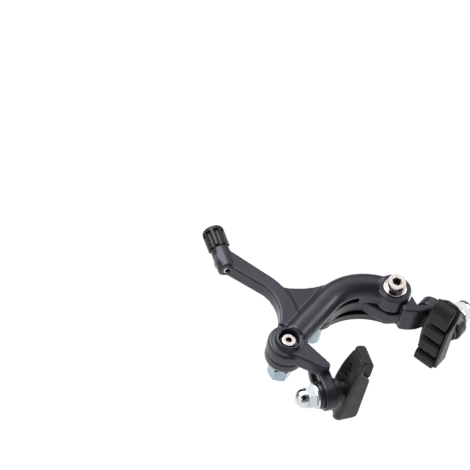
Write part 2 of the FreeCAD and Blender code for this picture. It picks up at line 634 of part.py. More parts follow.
def bent_path(points, radii):
    """A path of straight runs with an arc at each bend."""
    edges = []
    here = points[0]
    for before, corner, after, radius in zip(points, points[1:], points[2:], radii):
        to_before = (before - corner).normalize()
        to_after = (after - corner).normalize()
        half_turn = to_before.getAngle(to_after) / 2
        back_off = radius / math.tan(half_turn)
        bisector = (to_before + to_after).normalize()
        first = corner + to_before * back_off
        last = corner + to_after * back_off
        middle = corner + bisector * (radius / math.sin(half_turn) - radius)
        edges.append(Part.makeLine(here, first))
        edges.append(Part.Arc(first, middle, last).toShape())
        here = last
    edges.append(Part.makeLine(here, points[-1]))
    return Part.Wire(edges)


spring_points = [level(point, wire_y) for point in (spring_start, spring_top, spring_knee, spring_end)]
spring_path = bent_path(spring_points, [wrap, size("knee_radius")])
spring_circle = Part.makeCircle(size("wire_dia") / 2, spring_points[0],
                                (spring_points[1] - spring_points[0]).normalize())
return_spring = doc.addObject("Part::Feature", "return_spring")
return_spring.Shape = spring_path.makePipeShell([Part.Wire([spring_circle])], True, True)

# Shoes: a grooved rubber face on a wedge-backed holder, clamped to a leg's slot between washers
shoe_seat_x = half_plate + size("cup_washer_thick")
rubber_back = size("face_offset") - size("rubber_thick")
X_AXIS = Vector(1, 0, 0)


def ring(name, side, dia, thick, x):
    """A flat ring on a pad's post, starting at local x."""
    return side.seat(washer(name, dia, thick, "post_dia", at(x, 0, 0), X_AXIS))


def cup_ring(name, side, x):
    """A washer with one domed face, on the outer side of the plate."""
    blank = rounded(name + "_blank",
                    cylinder(name + "_disc", "cup_washer_dia / 2", "cup_washer_thick", at(x, 0, 0), X_AXIS),
                    size("cup_round"),
                    lambda edge: edge.BoundBox.XMax < x + 1e-4)
    hole = cylinder(name + "_hole", "post_dia / 2 + bolt_play", "cup_washer_thick * 3",
                    at(x - size("cup_washer_thick"), 0, 0), X_AXIS)
    return side.seat(cut(name, blank, hole))


def shoe(side):
    """The moulded shoe, in its own frame: X to the rim, Y back, Z along the slot."""
    front = -size("shoe_front_reach")
    rear = size("shoe_rear_reach")
    low = -size("shoe_height") / 2
    face_x = size("face_offset")
    toe = size("shoe_toe")
    toe_back = toe * (1 - math.sqrt(0.5))
    heel = size("shoe_heel_round")
    heel_back = heel * (1 - math.sqrt(0.5))
    heel_x = face_x - size("shoe_heel_thick")
    name = side.name + "_shoe"
    plan = outline(
        name + "_plan", at(face_x, front + toe, low), at(face_x, rear - toe, low),
        (at(face_x - toe_back, rear - toe_back, low), at(face_x - toe, rear, low)),
        at(heel_x + heel, rear, low),
        (at(heel_x + heel_back, rear - heel_back, low), at(heel_x, rear - heel, low)),
        at(face_x - size("shoe_front_thick"), front, low),
        at(face_x - toe, front, low),
        (at(face_x - toe_back, front + toe_back, low), at(face_x, front + toe, low)))
    blank = extruded(name + "_blank", plan, Vector(0, 0, 1), "shoe_height")
    softened = rounded(name + "_soft", blank, size("shoe_round"),
                       lambda edge: edge.BoundBox.XMax < face_x - toe)
    cuts = []
    for index in range(int(size("groove_count"))):
        groove_y = front + size("groove_first") + size("groove_pitch") * index - size("groove_width") / 2
        cuts.append(bound(
            "Part::Box", f"{name}_groove_{index}",
            FreeCAD.Placement(at(face_x - size("groove_depth"), groove_y, 2 * low), FreeCAD.Rotation()),
            Length="groove_depth * 2", Width="groove_width", Height="shoe_height * 2"))
    for index, parting_z in enumerate((low - size("parting_depth"), -low - size("parting_depth"))):
        cuts.append(bound(
            "Part::Box", f"{name}_parting_{index}",
            FreeCAD.Placement(at(rubber_back, 2 * front, parting_z), FreeCAD.Rotation()),
            Length="parting_width", Width="shoe_front_reach * 4", Height="parting_depth * 2"))
    seat_boss = cylinder(name + "_seat", "shoe_seat_dia / 2",
                         "face_offset - rubber_thick - slot_plate_thick / 2 - cup_washer_thick",
                         at(shoe_seat_x, 0, 0), X_AXIS)
    post_hole = cylinder(name + "_post_hole", "post_dia / 2 + bolt_play",
                         "face_offset - rubber_thick", at(0, 0, 0), X_AXIS)
    return side.seat(cut(name, fuse(name + "_body", softened, seat_boss), post_hole, *cuts))


def dome_nut(side, x):
    """A hexagon nut with a ball end, threaded blind from local x outward."""
    name = side.name + "_dome_nut"
    outer = -X_AXIS
    neck = at(x - size("dome_hex_length"), 0, 0)
    ball_depth = size("dome_length") - size("dome_dia") / 2
    hexed = hexagon(name + "_hex", "dome_flats", "dome_hex_length", at(x, 0, 0), outer)
    stem = cylinder(name + "_stem", "dome_dia / 2", "dome_length - dome_dia / 2", neck, outer)
    ball = bound("Part::Sphere", name + "_ball", placed(neck + outer * ball_depth, outer),
                 Radius="dome_dia / 2")
    thread = cylinder(name + "_thread", "post_dia / 2 + bolt_play", "dome_hex_length * 2",
                      at(x + size("dome_hex_length"), 0, 0), outer)
    return side.seat(cut(name, fuse(name + "_blank", hexed, stem, ball), thread))


def pad_set(side):
    """One shoe with its post, washers and dome nut."""
    inner_cup = ring(side.name + "_inner_washer", side, "cup_washer_dia", "cup_washer_thick", half_plate)
    outer_cup_x = -half_plate - size("cup_washer_thick")
    outer_cup = cup_ring(side.name + "_cup_washer", side, outer_cup_x)
    flat_x = outer_cup_x - size("flat_washer_thick")
    flat = ring(side.name + "_flat_washer", side, "flat_washer_dia", "flat_washer_thick", flat_x)
    nut = dome_nut(side, flat_x)
    post = side.seat(cylinder(
        side.name + "_post", "post_dia / 2",
        "dome_hex_length + flat_washer_thick + cup_washer_thick + slot_plate_thick / 2"
        " + face_offset - rubber_thick - parting_depth",
        at(flat_x - size("dome_hex_length") + size("running_gap"), 0, 0), X_AXIS))
    return [shoe(side), post, inner_cup, outer_cup, flat, nut]


SUB_PARTS = [
    back_bracket, mounting_bolt, seat_washer, mounting_nut, rear_thrust_washer, front_thrust_washer,
    pivot_spacer, pivot_bolt, pivot_washer, return_spring,
    c_arm, centring_screw, adjuster_barrel, adjuster_knob,
    y_arm, anchor_bolt, anchor_washer, anchor_nut,
    *pad_set(LEFT), *pad_set(RIGHT),
]

doc.recompute()
faults = []
for obj in doc.Objects:
    if "Invalid" in obj.State or "Error" in obj.State:
        faults.append(f"{obj.Name}: {obj.State}")
for part in SUB_PARTS:
    part.Label = part.Name
    if part.Shape.isNull() or not part.Shape.isValid() or not part.Shape.Solids:
        faults.append(f"{part.Name}: shape")
if faults:
    raise RuntimeError("; ".join(faults))

os.makedirs("parts", exist_ok=True)
for part in SUB_PARTS:
    part.Shape.exportStep(os.path.join("parts", part.Label + ".step"))
    print(part.Label, len(part.Shape.Solids), round(part.Shape.Volume, 1))
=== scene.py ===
import math

import bmesh
import bpy
from mathutils import Matrix, Vector


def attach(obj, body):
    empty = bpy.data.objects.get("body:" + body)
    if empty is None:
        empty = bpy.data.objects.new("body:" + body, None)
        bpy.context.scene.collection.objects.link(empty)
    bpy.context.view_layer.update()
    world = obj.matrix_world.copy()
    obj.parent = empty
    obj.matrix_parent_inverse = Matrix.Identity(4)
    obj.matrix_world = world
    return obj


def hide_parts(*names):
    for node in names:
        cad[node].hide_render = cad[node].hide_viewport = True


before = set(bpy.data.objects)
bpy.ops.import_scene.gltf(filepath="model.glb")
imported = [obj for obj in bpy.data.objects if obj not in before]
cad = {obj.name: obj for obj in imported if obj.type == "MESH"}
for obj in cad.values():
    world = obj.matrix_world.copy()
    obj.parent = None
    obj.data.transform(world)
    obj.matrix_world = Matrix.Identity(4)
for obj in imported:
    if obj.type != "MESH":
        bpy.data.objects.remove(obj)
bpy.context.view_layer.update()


# The back bracket is a flat forged bar that ties the side pivot to the centre bolt.
# It is aluminium, shot-blasted, then sprayed and stoved with black enamel.
MM = 0.001


def linear(hex_colour):
    """An sRGB hex colour as the linear RGBA that the shaders take."""
    channels = [int(hex_colour[i:i + 2], 16) / 255 for i in (1, 3, 5)]
    curve = [c / 12.92 if c <= 0.04045 else ((c + 0.055) / 1.055) ** 2.4 for c in channels]
    return curve + [1.0]


def add(tree, kind, feeds=None, **settings):
    """Adds one shader node; feeds gives each input its value, or the socket that drives it."""
    made = tree.nodes.new(kind)
    for name, value in settings.items():
        setattr(made, name, value)
    for name, value in (feeds or {}).items():
        socket = made.inputs[name]
        if isinstance(value, bpy.types.NodeSocket):
            tree.links.new(value, socket)
        else:
            socket.default_value = value
    return made


def blank_material(name):
    """An empty node material and its tree."""
    material = bpy.data.materials.new(name)
    material.use_nodes = True
    material.node_tree.nodes.clear()
    return material, material.node_tree


def finish_with(node_name, material):
    """Gives a CAD node one material."""
    data = cad[node_name].data
    data.materials.clear()
    data.materials.append(material)


def soften_edges(piece, width_mm, turn_deg=32):
    """Breaks a piece's sharp edges by a small round that catches the light."""
    weld = piece.modifiers.new("weld", "WELD")
    weld.merge_threshold = 0.002 * MM
    bevel = piece.modifiers.new("edge_break", "BEVEL")
    bevel.width = width_mm * MM
    bevel.segments = 3
    bevel.limit_method = "ANGLE"
    bevel.angle_limit = math.radians(turn_deg)
    normals = piece.modifiers.new("normals", "WEIGHTED_NORMAL")
    normals.keep_sharp = True
    for face in piece.data.polygons:
        face.use_smooth = True


def round_all_over(piece, grain_mm, passes):
    """Rounds a forged or moulded piece all over, as its die or mould does."""
    weld = piece.modifiers.new("weld", "WELD")
    weld.merge_threshold = 0.002 * MM
    skin = piece.modifiers.new("skin", "REMESH")
    skin.mode = "VOXEL"
    skin.voxel_size = grain_mm * MM
    skin.use_smooth_shade = True
    ease = piece.modifiers.new("ease", "SMOOTH")
    ease.factor = 0.5
    ease.iterations = passes


def stoved_enamel():
    """Stoved black enamel on a blasted forging: an even semi-gloss with a faint orange peel."""
    material, tree = blank_material("stoved_black_enamel_on_forged_aluminium")
    place = add(tree, "ShaderNodeTexCoord").outputs["Object"]
    peel_mm = 0.9
    cloud_mm = 14.0
    peel = add(tree, "ShaderNodeTexNoise", {"Vector": place, "Scale": 1 / (peel_mm * MM),
                                            "Detail": 2.0})
    cloud = add(tree, "ShaderNodeTexNoise", {"Vector": place, "Scale": 1 / (cloud_mm * MM),
                                             "Detail": 3.0})
    colour = add(tree, "ShaderNodeMix", {"Factor": cloud.outputs["Fac"], "A": linear("#16171d"),
                                         "B": linear("#22232a")}, data_type="RGBA")
    gloss = add(tree, "ShaderNodeMapRange", {"Value": cloud.outputs["Fac"], "From Min": 0.3,
                                             "From Max": 0.7, "To Min": 0.29, "To Max": 0.38})
    bump = add(tree, "ShaderNodeBump", {"Height": peel.outputs["Fac"], "Strength": 0.08,
                                        "Distance": 0.05 * MM})
    shader = add(tree, "ShaderNodeBsdfPrincipled", {
        "Base Color": colour.outputs["Result"], "Roughness": gloss.outputs["Result"],
        "Normal": bump.outputs["Normal"], "IOR": 1.5, "Specular Tint": linear("#e4e6f1")})
    add(tree, "ShaderNodeOutputMaterial", {"Surface": shader.outputs["BSDF"]})
    return material


enamel = stoved_enamel()
finish_with("back_bracket", enamel)
soften_edges(cad["back_bracket"], width_mm=0.5)


# The mounting bolt, its washer and nut, the pivot's spacer, the anchor's fastenings and the shoes' posts
# are turned steel. Zinc plating leaves them bright, with a cold bluish cast and a faint cloudiness.
def zinc_plate():
    """Bright zinc plate on turned steel: cold, softly reflective, a little uneven."""
    material, tree = blank_material("bright_zinc_plate_on_turned_steel")
    place = add(tree, "ShaderNodeTexCoord").outputs["Object"]
    cloud_mm = 2.5
    cloud = add(tree, "ShaderNodeTexNoise", {"Vector": place, "Scale": 1 / (cloud_mm * MM),
                                             "Detail": 4.0})
    colour = add(tree, "ShaderNodeMix", {"Factor": cloud.outputs["Fac"], "A": linear("#7f909b"),
                                         "B": linear("#a6b6c0")}, data_type="RGBA")
    gloss = add(tree, "ShaderNodeMapRange", {"Value": cloud.outputs["Fac"], "From Min": 0.3,
                                             "From Max": 0.7, "To Min": 0.16, "To Max": 0.30})
    shader = add(tree, "ShaderNodeBsdfPrincipled", {
        "Base Color": colour.outputs["Result"], "Metallic": 1.0, "Roughness": gloss.outputs["Result"]})
    add(tree, "ShaderNodeOutputMaterial", {"Surface": shader.outputs["BSDF"]})
    return material


zinc = zinc_plate()
for name in ("mounting_bolt", "seat_washer", "mounting_nut", "pivot_spacer",
             "anchor_bolt", "anchor_washer", "anchor_nut", "left_post", "right_post"):
    finish_with(name, zinc)
    soften_edges(cad[name], width_mm=0.25)


# The pivot bolt, its washer, the centring screw and the shoes' nuts are the bright parts.
# They are cold-headed steel, polished and plated, so they mirror the room.
# Painted shade darkens their sockets and corners.
def bright_plate(name, dull, bright):
    """Polished plate on steel: a clear mirror with a trace of haze, with painted shade in its sockets
    and corners.
    """
    material, tree = blank_material(name)
    place = add(tree, "ShaderNodeTexCoord").outputs["Object"]
    haze_mm = 1.6
    haze = add(tree, "ShaderNodeTexNoise", {"Vector": place, "Scale": 1 / (haze_mm * MM),
                                            "Detail": 3.0})
    colour = add(tree, "ShaderNodeMix", {"Factor": haze.outputs["Fac"], "A": linear(dull),
                                         "B": linear(bright)}, data_type="RGBA")
    gloss = add(tree, "ShaderNodeMapRange", {"Value": haze.outputs["Fac"], "From Min": 0.3,
                                             "From Max": 0.7, "To Min": 0.10, "To Max": 0.18})
    socket_mm = 2.6
    # Painted shade: an occlusion mask darkens the colour towards a brown-black in sockets and corners.
    open_sky = add(tree, "ShaderNodeAmbientOcclusion", {"Distance": socket_mm * MM}, samples=8)
    unshaded = add(tree, "ShaderNodeMapRange", {"Value": open_sky.outputs["AO"], "From Min": 0.25,
                                             "From Max": 0.7, "To Min": 0.0, "To Max": 1.0})
    socket_shaded = add(tree, "ShaderNodeMix", {"Factor": unshaded.outputs["Result"], "A": linear("#3a3330"),
                                       "B": colour.outputs["Result"]}, data_type="RGBA")
    shader = add(tree, "ShaderNodeBsdfPrincipled", {
        "Base Color": socket_shaded.outputs["Result"], "Metallic": 1.0, "Roughness": gloss.outputs["Result"]})
    add(tree, "ShaderNodeOutputMaterial", {"Surface": shader.outputs["BSDF"]})
    return material


nickel = bright_plate("polished_nickel_plate_on_steel", "#c4bab5", "#ded6d2")
chrome = bright_plate("polished_chrome_plate_on_steel", "#b9bdc2", "#d9dcdf")
for name in ("pivot_bolt", "pivot_washer", "centring_screw"):
    finish_with(name, nickel)
    soften_edges(cad[name], width_mm=0.3)
for name in ("left_flat_washer", "right_flat_washer", "left_dome_nut", "right_dome_nut"):
    finish_with(name, chrome)
    soften_edges(cad[name], width_mm=0.3)


# The thrust washers are thin rings of black bearing plastic between the arms and the bolt.
# They are stamped from acetal sheet, smooth and waxy.
def acetal():
    """Stamped acetal: black, waxy, with a soft broad sheen."""
    material, tree = blank_material("stamped_black_acetal")
    place = add(tree, "ShaderNodeTexCoord").outputs["Object"]
    # Stamped sheet has a finer skin than this; it is drawn coarser so that it shows.
    grain_mm = 0.4
    grain = add(tree, "ShaderNodeTexNoise", {"Vector": place, "Scale": 1 / (grain_mm * MM),
                                             "Detail": 2.0})
    colour = add(tree, "ShaderNodeMix", {"Factor": grain.outputs["Fac"], "A": linear("#0e0e10"),
                                         "B": linear("#17171a")}, data_type="RGBA")
    bump = add(tree, "ShaderNodeBump", {"Height": grain.outputs["Fac"], "Strength": 0.1,
                                        "Distance": 0.03 * MM})
    shader = add(tree, "ShaderNodeBsdfPrincipled", {
        "Base Color": colour.outputs["Result"], "Roughness": 0.42, "IOR": 1.48,
        "Normal": bump.outputs["Normal"]})
    add(tree, "ShaderNodeOutputMaterial", {"Surface": shader.outputs["BSDF"]})
    return material


bearing = acetal()
for name in ("rear_thrust_washer", "front_thrust_washer"):
    finish_with(name, bearing)
    soften_edges(cad[name], width_mm=0.1)


# The return spring is hard-drawn steel wire, bent round the bracket's boss.
# Drawing leaves fine lines along the wire and a dull grey sheen.
def spring_steel():
    """Drawn spring wire: grey steel with a satin, slightly streaked surface."""
    material, tree = blank_material("hard_drawn_spring_steel_wire")
    place = add(tree, "ShaderNodeTexCoord").outputs["Object"]
    # The die's lines are finer than this; they are drawn coarser so that they show.
    streak_mm = 0.5
    streak = add(tree, "ShaderNodeTexNoise", {"Vector": place, "Scale": 1 / (streak_mm * MM),
                                              "Detail": 3.0})
    gloss = add(tree, "ShaderNodeMapRange", {"Value": streak.outputs["Fac"], "From Min": 0.3,
                                             "From Max": 0.7, "To Min": 0.28, "To Max": 0.42})
    colour = add(tree, "ShaderNodeMix", {"Factor": streak.outputs["Fac"], "A": linear("#808387"),
                                         "B": linear("#9a9da1")}, data_type="RGBA")
    shader = add(tree, "ShaderNodeBsdfPrincipled", {
        "Base Color": colour.outputs["Result"], "Metallic": 1.0, "Roughness": gloss.outputs["Result"]})
    add(tree, "ShaderNodeOutputMaterial", {"Surface": shader.outputs["BSDF"]})
    return material


finish_with("return_spring", spring_steel())
soften_edges(cad["return_spring"], width_mm=0.2, turn_deg=50)


# The two arms are forged aluminium, one turning on the side pivot and one on the centre bolt.
# They share the bracket's stoved enamel, and their edges are rounded by the die and the blasting.
FORGING_GRAIN_MM = 0.4
for name, passes in (("c_arm", 12), ("y_arm", 14)):
    finish_with(name, enamel)
    round_all_over(cad[name], FORGING_GRAIN_MM, passes)


# The adjuster is a black barrel with a moulded knob on its top.
# The barrel takes the arms' black finish, whose tone it shares in the photograph.
# The knob is nylon, with flutes to turn it by hand.
def moulded_nylon():
    """Moulded black nylon: matte, with a fine spark-eroded grain."""
    material, tree = blank_material("moulded_black_nylon")
    place = add(tree, "ShaderNodeTexCoord").outputs["Object"]
    # A spark-eroded grain is nearer 0.05 mm; it is drawn coarser so that it shows.
    grain_mm = 0.35
    grain = add(tree, "ShaderNodeTexNoise", {"Vector": place, "Scale": 1 / (grain_mm * MM),
                                             "Detail": 2.0})
    flow_mm = 5.0
    flow = add(tree, "ShaderNodeTexNoise", {"Vector": place, "Scale": 1 / (flow_mm * MM),
                                            "Detail": 3.0})
    colour = add(tree, "ShaderNodeMix", {"Factor": flow.outputs["Fac"], "A": linear("#09090c"),
                                         "B": linear("#111114")}, data_type="RGBA")
    gloss = add(tree, "ShaderNodeMapRange", {"Value": flow.outputs["Fac"], "From Min": 0.3,
                                             "From Max": 0.7, "To Min": 0.41, "To Max": 0.52})
    bump = add(tree, "ShaderNodeBump", {"Height": grain.outputs["Fac"], "Strength": 0.2,
                                        "Distance": 0.04 * MM})
    shader = add(tree, "ShaderNodeBsdfPrincipled", {
        "Base Color": colour.outputs["Result"], "Roughness": gloss.outputs["Result"], "IOR": 1.53,
        "Specular IOR Level": 0.35, "Normal": bump.outputs["Normal"]})
    add(tree, "ShaderNodeOutputMaterial", {"Surface": shader.outputs["BSDF"]})
    return material


nylon = moulded_nylon()
finish_with("adjuster_knob", nylon)
soften_edges(cad["adjuster_knob"], width_mm=0.35)
finish_with("adjuster_barrel", enamel)
soften_edges(cad["adjuster_barrel"], width_mm=0.2)


# The ferrule is a small turned sleeve, pressed into the foot of the barrel arm's boss.
# It is nickel plated, and its mouth is rounded inside and out.
FOOT_MM = (-30.0, -21.35, 37.0)
BARREL_AXIS = Vector((0.330514, 0.0, 0.943801))


def new_piece(name, shape, placement, body, material):
    """Makes a piece from a bmesh drawn in millimetres, puts it in place and lets it ride on a body."""
    bmesh.ops.recalc_face_normals(shape, faces=shape.faces)
    mesh = bpy.data.meshes.new(name)
    shape.to_mesh(mesh)
    shape.free()
    mesh.transform(placement @ Matrix.Scale(MM, 4))
    mesh.materials.append(material)
    piece = bpy.data.objects.new(name, mesh)
    bpy.context.scene.collection.objects.link(piece)
    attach(piece, body)
    return piece


def join_rings(shape, rings):
    """Joins each ring of points to the next one with a band of faces."""
    for near, far in zip(rings, rings[1:]):
        for a in range(len(near)):
            b = (a + 1) % len(near)
            shape.faces.new((near[a], near[b], far[b], far[a]))


def ferrule_shape():
    """The sleeve's wall, spun about the barrel's axis: radius and height of each point."""
    wall = [(1.2, 1.4), (1.2, 0.1), (1.35, -0.25), (1.65, -0.4), (1.95, -0.25), (2.1, 0.1), (2.1, 1.4)]
    shape = bmesh.new()
    steps = 40
    rings = []
    for step in range(steps):
        angle = 2 * math.pi * step / steps
        rings.append([shape.verts.new((r * math.cos(angle), r * math.sin(angle), z)) for r, z in wall])
    join_rings(shape, rings + rings[:1])
    return shape


foot_turn = BARREL_AXIS.to_track_quat("Z", "Y").to_matrix().to_4x4()
foot_place = Matrix.Translation(Vector(FOOT_MM) * MM) @ foot_turn
ferrule = new_piece("cable_ferrule", ferrule_shape(), foot_place, "front_arm", nickel)
soften_edges(ferrule, width_mm=0.1)


# The anchor's lock nut is a hexagon of turned steel, zinc plated like the bolt.
# It is run down the bolt's tail behind the first nut, which is where it shows below the left boss.
LOCK_NUT_MM = (-32.3, -5.45, -11.8)
LOCK_NUT_LENGTH = 7.6
LOCK_NUT_FLAT = 5.0
LOCK_NUT_BORE = 2.6
LOCK_NUT_BORE_DEPTH = 1.2
LOCK_NUT_RIM = 0.2
LOCK_NUT_FACE = 4.9
LOCK_NUT_TURN_DEG = 12


def lock_nut_shape():
    """A chamfered hexagon with a shallow bore at its outer end, drawn as rings along its axis."""
    shape = bmesh.new()
    steps = 72
    chamfer = math.tan(math.radians(30))
    bore_floor = LOCK_NUT_LENGTH - LOCK_NUT_BORE_DEPTH
    rings = [[] for _ in range(6)]
    for step in range(steps):
        angle = 2 * math.pi * step / steps
        from_flat = (angle + math.pi / 6) % (math.pi / 3) - math.pi / 6
        reach = LOCK_NUT_FLAT / math.cos(from_flat)
        cut = (reach - LOCK_NUT_FLAT) * chamfer + LOCK_NUT_RIM
        outline = ((LOCK_NUT_FACE, 0.0), (reach, cut), (reach, LOCK_NUT_LENGTH - cut),
                   (LOCK_NUT_FACE, LOCK_NUT_LENGTH), (LOCK_NUT_BORE, LOCK_NUT_LENGTH),
                   (LOCK_NUT_BORE, bore_floor))
        for ring, (radius, height) in zip(rings, outline):
            ring.append(shape.verts.new((radius * math.cos(angle), radius * math.sin(angle), height)))
    join_rings(shape, rings)
    shape.faces.new(rings[0])
    shape.faces.new(rings[-1])
    return shape


nut_twist = Matrix.Rotation(math.radians(LOCK_NUT_TURN_DEG), 4, "Z")
nut_turn = Matrix.Rotation(-math.pi / 2, 4, "X") @ nut_twist
nut_place = Matrix.Translation(Vector(LOCK_NUT_MM) * MM) @ nut_turn
lock_nut = new_piece("anchor_lock_nut", lock_nut_shape(), nut_place, "rear_arm", zinc)
soften_edges(lock_nut, width_mm=0.15, turn_deg=40)


# The posts' washers are turned steel, black enamelled like the arms that they clamp.
# One lies on each side of the leg's slot, and the outer one is domed.
for side in ("left", "right"):
    for ring in ("_inner_washer", "_cup_washer"):
        finish_with(side + ring, enamel)
        soften_edges(cad[side + ring], width_mm=0.3)


# Each shoe's holder is moulded nylon, thicker to the rear, with one high arched edge and one side wall.
# Its back is dished, has a round seat for the post's washer, and three recesses that save material.
FRONT_MM, REAR_MM = -28.0, 18.0
HOLDER_FACE_MM = 11.2
HOLDER_LOW_MM = -6.5
TOE_HIGH_MM, ARCH_RISE_MM, HEEL_FALL_MM = 4.6, 4.2, 2.3
ARCH_RUN_MM = 26.0
FALL_START_MM, FALL_RUN_MM = -2.0, 20.0
BACK_TOE_MM, BACK_TAPER_MM = 10.0, 5.2
DISH_MM = 1.0
END_ROUND_MM, END_ROUND_BACK, END_ROUND_FACE = 3.0, 0.5, 0.3
END_THICK_MM = 0.6
EDGE_ROUND_MM, RIDGE_ROUND_MM, LIP_MM = 1.6, 2.6, 0.5
ROUND_LIMIT = 2.2
WALL_TOP_MM = 16.2
WALL_ROUND_MM = 5.0
WALL_TIP_MM, WALL_ROOT_MM = 1.2, 1.5
WALL_START_MM, WALL_FULL_MM = -22.5, -13.5
SEAT_RADIUS_MM, SEAT_LENGTH_MM, SEAT_BACK_MM = 5.0, 4.0, 5.4
RECESS_PLACES_MM = (-9.6, -13.2, -16.8)
RECESS_HALF_MM = (1.7, 1.15)
RECESS_LENGTH_MM, RECESS_MIDDLE_MM, RECESS_HIGH_MM = 5.6, 7.6, 2.4
SHOE_SIDES = (("left", "front_arm", (-28.8, -13.1, -39.6), 19.0, 1),
              ("right", "rear_arm", (47.7, -13.1, -40.5), 165.0, -1))


def wall_height(y):
    """How high the side wall stands: it rises behind the toe and is rounded at the heel."""
    share = min(1.0, max(0.0, (y - WALL_START_MM) / (WALL_FULL_MM - WALL_START_MM)))
    rise = share * share * (3 - 2 * share)
    room = min(REAR_MM - y, WALL_ROUND_MM)
    drop = WALL_ROUND_MM - math.sqrt(WALL_ROUND_MM ** 2 - (WALL_ROUND_MM - room) ** 2)
    return max(HOLDER_FACE_MM, HOLDER_FACE_MM + (WALL_TOP_MM - HOLDER_FACE_MM) * rise - drop)


def holder_section(y, up):
    """One rounded section of the holder, across its length."""
    arch = math.sin(math.pi / 2 * min(1.0, (y - FRONT_MM) / ARCH_RUN_MM))
    fall = max(0.0, (y - FALL_START_MM) / FALL_RUN_MM)
    high = TOE_HIGH_MM + ARCH_RISE_MM * arch - HEEL_FALL_MM * fall * fall
    back = BACK_TOE_MM - BACK_TAPER_MM * (y - FRONT_MM) / (REAR_MM - FRONT_MM)
    room = min(y - FRONT_MM, REAR_MM - y, END_ROUND_MM)
    inset = END_ROUND_MM - math.sqrt(END_ROUND_MM ** 2 - (END_ROUND_MM - room) ** 2)
    low, high = HOLDER_LOW_MM + inset, high - inset
    face = HOLDER_FACE_MM - inset * END_ROUND_FACE
    wall = wall_height(y) - inset * END_ROUND_FACE
    back = min(back + inset * END_ROUND_BACK, face - END_THICK_MM)
    edge = min(EDGE_ROUND_MM, (face - back) / ROUND_LIMIT)
    ridge = min(RIDGE_ROUND_MM, (wall - back) / ROUND_LIMIT)
    points = [(wall, low + LIP_MM), (wall, low + WALL_TIP_MM), (face, low + WALL_ROOT_MM),
              (face, high - LIP_MM), (face - LIP_MM, high)]
    quarter = [math.radians(15 * turn) for turn in range(7)]
    for angle in quarter:
        points.append((back + edge - edge * math.sin(angle), high - edge + edge * math.cos(angle)))
    for part in range(1, 6):
        share = part / 6
        dish = DISH_MM * (1 - (2 * share - 1) ** 2)
        points.append((back + dish, high - edge + (low - high + edge + ridge) * share))
    for angle in quarter:
        points.append((back + ridge - ridge * math.cos(angle), low + ridge - ridge * math.sin(angle)))
    points.append((wall - LIP_MM, low))
    return [(x, y, z * up) for x, z in points]


def holder_shape(up):
    """The holder as a loft through its sections."""
    shape = bmesh.new()
    ends = [0.0, 0.3, 0.8, 1.6, 3.0]
    first, last = FRONT_MM + ends[-1], REAR_MM - ends[-1]
    stations = [FRONT_MM + end for end in ends]
    stations += [first + step for step in range(1, round(last - first))]
    stations += [REAR_MM - end for end in reversed(ends)]
    rings = [[shape.verts.new(point) for point in holder_section(y, up)] for y in stations]
    join_rings(shape, rings)
    shape.faces.new(rings[0])
    shape.faces.new(rings[-1])
    return shape


def seat_shape():
    """The round seat for the post's washer, which stands on the holder's back."""
    shape = bmesh.new()
    middle = Matrix.Translation((SEAT_BACK_MM + SEAT_LENGTH_MM / 2, 0, 0))
    bmesh.ops.create_cone(shape, cap_ends=True, segments=40, radius1=SEAT_RADIUS_MM,
                          radius2=SEAT_RADIUS_MM, depth=SEAT_LENGTH_MM,
                          matrix=middle @ Matrix.Rotation(math.pi / 2, 4, "Y"))
    return shape


def recess_shape(up):
    """Three oval plugs that cut the recesses in front of the post."""
    shape = bmesh.new()
    oval = Matrix.Diagonal((*RECESS_HALF_MM, 1.0, 1.0))
    for y in RECESS_PLACES_MM:
        middle = Matrix.Translation((RECESS_MIDDLE_MM, y, RECESS_HIGH_MM * up))
        bmesh.ops.create_cone(shape, cap_ends=True, segments=24, radius1=1.0, radius2=1.0,
                              depth=RECESS_LENGTH_MM,
                              matrix=middle @ Matrix.Rotation(math.pi / 2, 4, "Y") @ oval)
    return shape


def combine(piece, shape, placement, operation):
    """Adds a bmesh drawn in millimetres to a piece, or cuts it away, and keeps the new mesh."""
    bmesh.ops.recalc_face_normals(shape, faces=shape.faces)
    tool_mesh = bpy.data.meshes.new("tool")
    shape.to_mesh(tool_mesh)
    shape.free()
    tool_mesh.transform(placement @ Matrix.Scale(MM, 4))
    tool = bpy.data.objects.new("tool", tool_mesh)
    bpy.context.scene.collection.objects.link(tool)
    join = piece.modifiers.new("join", "BOOLEAN")
    join.object = tool
    join.operation = operation
    bpy.context.view_layer.update()
    joined = piece.evaluated_get(bpy.context.evaluated_depsgraph_get())
    piece.data = bpy.data.meshes.new_from_object(joined)
    piece.modifiers.clear()
    bpy.data.objects.remove(tool)


def shoe_place(post_mm, turn_deg):
    """Where a shoe sits: its post's place and its tilt towards the rim."""
    return Matrix.Translation(Vector(post_mm) * MM) @ Matrix.Rotation(math.radians(turn_deg), 4, "Y")


for side, body, post_mm, turn_deg, up in SHOE_SIDES:
    placement = shoe_place(post_mm, turn_deg)
    holder = new_piece(side + "_shoe_holder", holder_shape(up), placement, body, nylon)
    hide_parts(side + "_shoe")
    combine(holder, seat_shape(), placement, "UNION")
    combine(holder, recess_shape(up), placement, "DIFFERENCE")
    soften_edges(holder, width_mm=0.3)


# The rubber pads are bonded to the holders and rub on the rim.
# They are moulded in one piece with three deep grooves that clear water; the rubber is matte and dusty.
RUBBER_BACK_MM, RUBBER_FACE_MM = 10.9, 17.0
WALL_SIDE_MM, FREE_SIDE_MM = -4.7, 5.9
GROOVE_FLOOR_MM = 13.0
FOOT_MARGIN_MM = 0.6
TOE_ROUND_MM, HEEL_ROUND_MM, BLOCK_ROUND_MM = 4.6, 3.0, 1.6
RUBBER_GRAIN_MM = 0.35
BLOCKS_MM = ((-27.6, -14.2), (-12.2, -3.4), (-1.4, 7.4), (9.4, 17.6))


